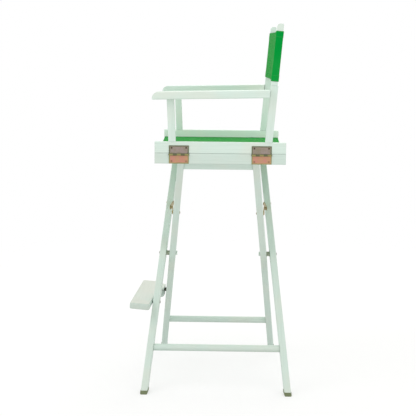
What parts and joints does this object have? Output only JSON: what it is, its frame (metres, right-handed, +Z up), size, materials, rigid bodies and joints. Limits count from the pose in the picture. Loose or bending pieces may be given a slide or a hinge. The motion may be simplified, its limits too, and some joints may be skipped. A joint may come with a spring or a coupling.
{
  "type": "directors chair",
  "caption": "Tall folding directors chair with canvas seat and back, crossed leg frames, flat armrests and a tip-up footrest.",
  "frame": {"origin": "on the floor, under the middle of the chair's overall box", "axes": "+Z up, -Y the way the sitter faces, +X the sitter's left"},
  "size_m": [0.571, 0.513, 1.139],
  "materials": {
    "painted_wood": "beech brush-painted a pale mint white, satin, a little thin over the grain and along the edges",
    "canvas": "plain-weave cotton canvas, bright green, matt, hemmed and double stitched",
    "upper_leaf_plate": "bronzed plate, worn and stained brown and mauve",
    "lower_leaf_plate": "coppery bronzed plate, worn bright",
    "glide_rubber": "olive-grey rubber, matt",
    "zinc_steel": "dull zinc-plated steel",
    "dark_fastener": "dark oxidised steel"
  },
  "bodies": {
    "outer_frame": {"outer_front_leg": "painted_wood", "outer_rear_leg": "painted_wood", "outer_stretcher": "painted_wood", "outer_apron": "painted_wood", "lower_rail_right": "painted_wood", "outer_glides": "glide_rubber", "outer_rail_screws": "zinc_steel", "pivot_bolts": "zinc_steel", "pivot_spacers": "zinc_steel", "pivot_nuts": "zinc_steel", "footrest_pivot_bolt": "dark_fastener", "footrest_pivot_washer": "dark_fastener", "outer_brace_bolts": "zinc_steel", "hinge_lower_leaves_right": "lower_leaf_plate", "hinge_lower_screws_right": "upper_leaf_plate"},
    "inner_frame": {"inner_front_leg": "painted_wood", "inner_rear_leg": "painted_wood", "inner_stretcher": "painted_wood", "inner_apron": "painted_wood", "lower_rail_left": "painted_wood", "inner_glides": "glide_rubber", "inner_rail_screws": "zinc_steel", "inner_brace_bolts": "zinc_steel", "footrest_rest_stud": "dark_fastener", "hinge_lower_leaves_left": "lower_leaf_plate", "hinge_lower_screws_left": "upper_leaf_plate"},
    "arm_left": {"upper_rail_left": "painted_wood", "front_post_left": "painted_wood", "back_post_left": "painted_wood", "armrest_left": "painted_wood", "hinge_upper_leaves_left": "upper_leaf_plate", "hinge_pins_left": "upper_leaf_plate", "hinge_upper_screws_left": "upper_leaf_plate", "seat_rod_left": "zinc_steel"},
    "arm_right": {"upper_rail_right": "painted_wood", "front_post_right": "painted_wood", "back_post_right": "painted_wood", "armrest_right": "painted_wood", "hinge_upper_leaves_right": "upper_leaf_plate", "hinge_pins_right": "upper_leaf_plate", "hinge_upper_screws_right": "upper_leaf_plate", "seat_rod_right": "zinc_steel"},
    "seat_left": {"seat_canvas_left": "canvas"},
    "seat_right": {"seat_canvas_right": "canvas"},
    "back_left": {"back_canvas_left": "canvas"},
    "back_right": {"back_canvas_right": "canvas"},
    "brace_front_outer": {"brace_link_front_outer": "zinc_steel", "brace_rivet_front_outer": "zinc_steel"},
    "brace_rear_outer": {"brace_link_rear_outer": "zinc_steel", "brace_rivet_rear_outer": "zinc_steel"},
    "brace_front_inner": {"brace_link_front_inner": "zinc_steel", "brace_rivet_front_inner": "zinc_steel"},
    "brace_rear_inner": {"brace_link_rear_inner": "zinc_steel", "brace_rivet_rear_inner": "zinc_steel"},
    "footrest": {"footrest_board": "painted_wood", "footrest_block": "painted_wood", "footrest_screws": "zinc_steel"}
  },
  "joints": [
    {"name": "frame_fold", "type": "hinge", "parent": "outer_frame", "child": "inner_frame", "pos_m": [0, 0.02111, 0.394], "axis": [0, -1, 0], "range_deg": [0, 59.8]},
    {"name": "arm_hinge_left", "type": "hinge", "parent": "inner_frame", "child": "arm_left", "pos_m": [0.263, 0.02111, 0.746], "axis": [0, 1, 0], "range_deg": [0, 29.9]},
    {"name": "arm_hinge_right", "type": "hinge", "parent": "outer_frame", "child": "arm_right", "pos_m": [-0.263, 0.02111, 0.746], "axis": [0, -1, 0], "range_deg": [0, 29.9]},
    {"name": "seat_fold_left", "type": "hinge", "parent": "arm_left", "child": "seat_left", "pos_m": [0.2345, 0.02661, 0.758], "axis": [0, 1, 0], "range_deg": [0, 86.1], "deforming": ["seat_canvas_left"]},
    {"name": "seat_fold_right", "type": "hinge", "parent": "arm_right", "child": "seat_right", "pos_m": [-0.2345, 0.02661, 0.758], "axis": [0, -1, 0], "range_deg": [0, 86.1], "deforming": ["seat_canvas_right"]},
    {"name": "back_fold_left", "type": "hinge", "parent": "arm_left", "child": "back_left", "pos_m": [0.222, 0.18417, 1.04338], "axis": [0, -0.0872, -0.9962], "range_deg": [0, 85.7], "deforming": ["back_canvas_left"]},
    {"name": "back_fold_right", "type": "hinge", "parent": "arm_right", "child": "back_right", "pos_m": [-0.222, 0.18417, 1.04338], "axis": [0, 0.0872, 0.9962], "range_deg": [0, 85.7], "deforming": ["back_canvas_right"]},
    {"name": "brace_front_outer_turn", "type": "hinge", "parent": "outer_frame", "child": "brace_front_outer", "pos_m": [-0.10214, -0.13215, 0.546], "axis": [-0.0496, -0.996, 0.0738], "range_deg": [0, 112.9]},
    {"name": "brace_rear_outer_turn", "type": "hinge", "parent": "outer_frame", "child": "brace_rear_outer", "pos_m": [-0.10214, 0.17438, 0.546], "axis": [0.0496, -0.996, -0.0738], "range_deg": [0, 112.9]},
    {"name": "brace_front_inner_turn", "type": "hinge", "parent": "inner_frame", "child": "brace_front_inner", "pos_m": [0.10214, -0.12396, 0.546], "axis": [-0.0496, 0.996, -0.0738], "range_deg": [0, 112.9]},
    {"name": "brace_rear_inner_turn", "type": "hinge", "parent": "inner_frame", "child": "brace_rear_inner", "pos_m": [0.10214, 0.16618, 0.546], "axis": [0.0496, 0.996, 0.0738], "range_deg": [0, 112.9]},
    {"name": "footrest_tip", "type": "hinge", "parent": "outer_frame", "child": "footrest", "pos_m": [0.09636, -0.1753, 0.2506], "axis": [0.0496, 0.996, -0.0738], "range_deg": [0, 45]}
  ],
  "couplings": [
    {"joint": "arm_hinge_left", "follows": "frame_fold", "ratio": 0.5},
    {"joint": "arm_hinge_right", "follows": "frame_fold", "ratio": 0.5},
    {"joint": "seat_fold_left", "follows": "frame_fold", "ratio": 1.4386},
    {"joint": "seat_fold_right", "follows": "frame_fold", "ratio": 1.4386},
    {"joint": "back_fold_left", "follows": "frame_fold", "ratio": 1.4322},
    {"joint": "back_fold_right", "follows": "frame_fold", "ratio": 1.4322},
    {"joint": "brace_front_outer_turn", "follows": "frame_fold", "ratio": 1.887},
    {"joint": "brace_rear_outer_turn", "follows": "frame_fold", "ratio": 1.887},
    {"joint": "brace_front_inner_turn", "follows": "frame_fold", "ratio": 1.887},
    {"joint": "brace_rear_inner_turn", "follows": "frame_fold", "ratio": 1.887}
  ]
}
